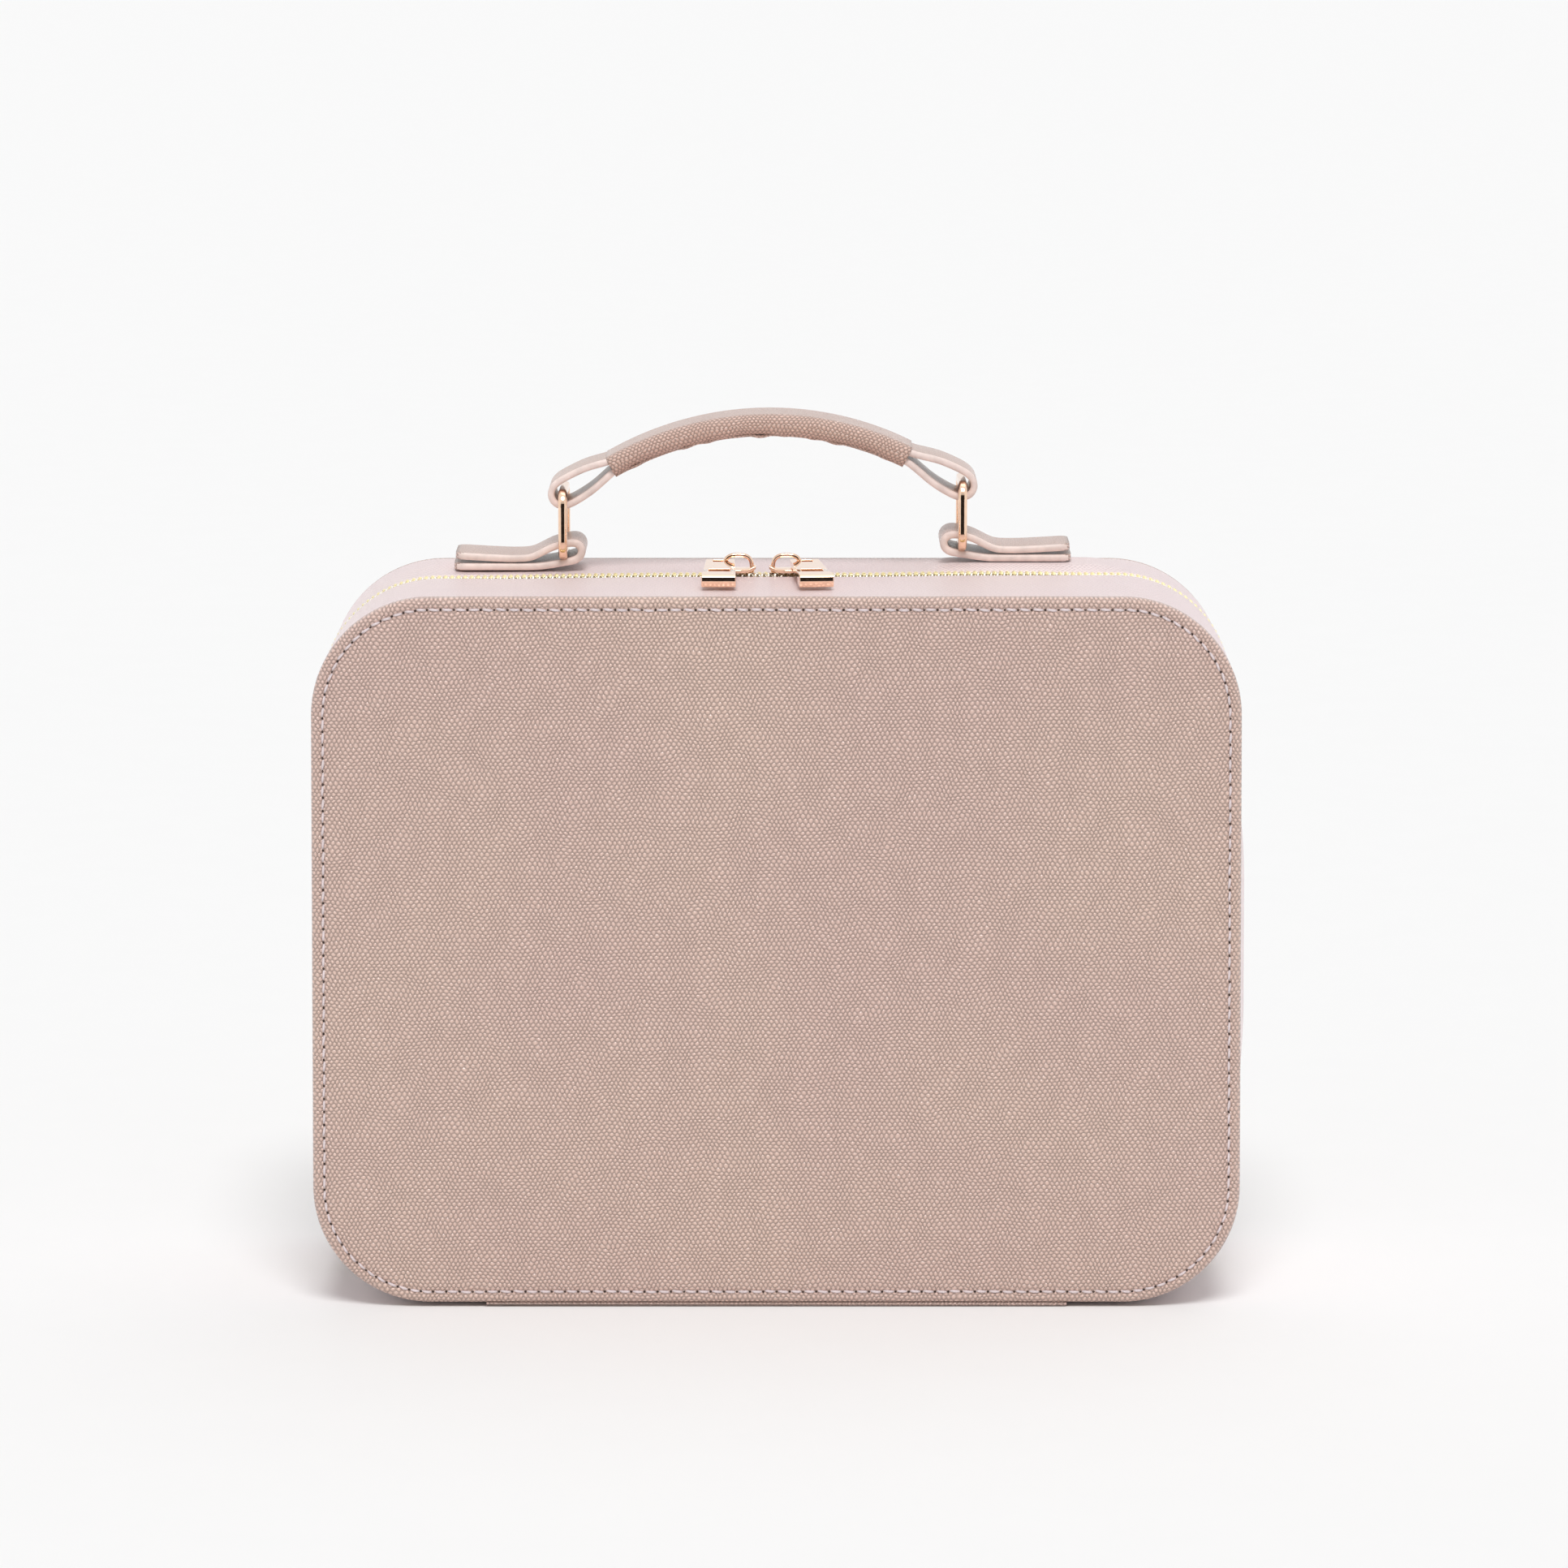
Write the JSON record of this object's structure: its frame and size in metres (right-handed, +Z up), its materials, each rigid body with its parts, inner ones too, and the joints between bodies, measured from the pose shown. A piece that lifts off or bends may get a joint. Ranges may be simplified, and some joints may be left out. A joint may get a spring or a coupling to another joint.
{
  "type": "makeup train case",
  "caption": "Soft zip-around makeup train case in pink pebbled leather with an arched top handle on metal rings.",
  "frame": {"origin": "middle of the base on the ground, under the centre of the closed case", "axes": "+X to the right seen from the front, -Y out of the front face, +Z up"},
  "size_m": [0.2616, 0.09, 0.2441],
  "materials": {
    "pink_pebbled_leather": "pearly pebbled grain",
    "padding": "soft foam",
    "grey_board": "matte",
    "dark_plastic": "matte",
    "blush_lining": "smooth woven",
    "padded_divider_fabric": "brushed loop fabric",
    "elastic_webbing": "ribbed elastic",
    "zip_tape": "herringbone tape",
    "gold_zip_coil": "metallised coil",
    "rose_gold_metal": "polished rose gold plate"
  },
  "bodies": {
    "case": {"back_panel_cover": "pink_pebbled_leather", "back_foam": "padding", "back_board": "grey_board", "case_lining_back": "blush_lining", "case_gusset_cover": "pink_pebbled_leather", "case_gusset_board_upper_left": "grey_board", "case_gusset_board_upper_right": "grey_board", "case_gusset_board_lower_left": "grey_board", "case_gusset_board_lower_right": "grey_board", "case_lining_wall": "blush_lining", "case_binding": "blush_lining", "case_zip_tape": "zip_tape", "case_zip_coil": "gold_zip_coil", "hinge_panel_case_half": "pink_pebbled_leather", "handle_anchor_board": "grey_board", "left_handle_tab": "pink_pebbled_leather", "right_handle_tab": "pink_pebbled_leather", "left_zip_end_tab": "pink_pebbled_leather", "right_zip_end_tab": "pink_pebbled_leather", "long_divider": "padded_divider_fabric", "short_divider_1": "padded_divider_fabric", "short_divider_2": "padded_divider_fabric", "short_divider_3": "padded_divider_fabric", "short_divider_4": "padded_divider_fabric", "short_divider_5": "padded_divider_fabric"},
    "lid": {"front_panel_cover": "pink_pebbled_leather", "front_foam": "padding", "front_board": "grey_board", "lid_lining_front": "blush_lining", "lid_gusset_cover": "pink_pebbled_leather", "lid_gusset_board_upper_left": "grey_board", "lid_gusset_board_upper_right": "grey_board", "lid_gusset_board_lower_left": "grey_board", "lid_gusset_board_lower_right": "grey_board", "lid_lining_wall": "blush_lining", "lid_binding": "blush_lining", "lid_zip_tape": "zip_tape", "lid_zip_coil": "gold_zip_coil", "hinge_panel_lid_half": "pink_pebbled_leather", "brush_board": "padded_divider_fabric", "upper_brush_band": "elastic_webbing", "lower_brush_band": "elastic_webbing", "brush_pocket": "blush_lining"},
    "left_slider": {"left_slider_body": "rose_gold_metal", "left_slider_bridge": "rose_gold_metal"},
    "right_slider": {"right_slider_body": "rose_gold_metal", "right_slider_bridge": "rose_gold_metal"},
    "left_pull": {"left_pull_tab": "rose_gold_metal"},
    "right_pull": {"right_pull_tab": "rose_gold_metal"},
    "left_ring": {"left_ring": "rose_gold_metal"},
    "right_ring": {"right_ring": "rose_gold_metal"},
    "handle": {"handle_strap": "pink_pebbled_leather", "handle_core": "dark_plastic", "handle_grip": "pink_pebbled_leather"}
  },
  "joints": [
    {"name": "lid_hinge", "type": "hinge", "parent": "case", "child": "lid", "pos_m": [0, 0.0045, 0], "axis": [1, 0, 0], "range_deg": [0, 175]},
    {"name": "left_slider_travel", "type": "slide", "parent": "lid", "child": "left_slider", "axis": [-1, 0, 0], "range_m": [0, 0.08]},
    {"name": "right_slider_travel", "type": "slide", "parent": "lid", "child": "right_slider", "axis": [1, 0, 0], "range_m": [0, 0.08]},
    {"name": "left_pull_swing", "type": "hinge", "parent": "left_slider", "child": "left_pull", "pos_m": [-0.0148, 0.0045, 0.2038], "axis": [0, 0, -1], "range_deg": [0, 90]},
    {"name": "right_pull_swing", "type": "hinge", "parent": "right_slider", "child": "right_pull", "pos_m": [0.0068, 0.0045, 0.2038], "axis": [0, 0, 1], "range_deg": [0, 90]},
    {"name": "left_ring_swing", "type": "hinge", "parent": "case", "child": "left_ring", "pos_m": [-0.0607, 0.0245, 0.2051], "axis": [0, 1, 0], "range_deg": [-20, 20]},
    {"name": "right_ring_swing", "type": "hinge", "parent": "case", "child": "right_ring", "pos_m": [0.0529, 0.0245, 0.2051], "axis": [0, 1, 0], "range_deg": [-20, 20]},
    {"name": "handle_sway", "type": "hinge", "parent": "left_ring", "child": "handle", "pos_m": [-0.0607, 0.0245, 0.2227], "axis": [0, 1, 0], "range_deg": [-20, 20]}
  ],
  "couplings": [
    {"joint": "right_ring_swing", "follows": "left_ring_swing", "ratio": 1},
    {"joint": "handle_sway", "follows": "left_ring_swing", "ratio": -1}
  ]
}
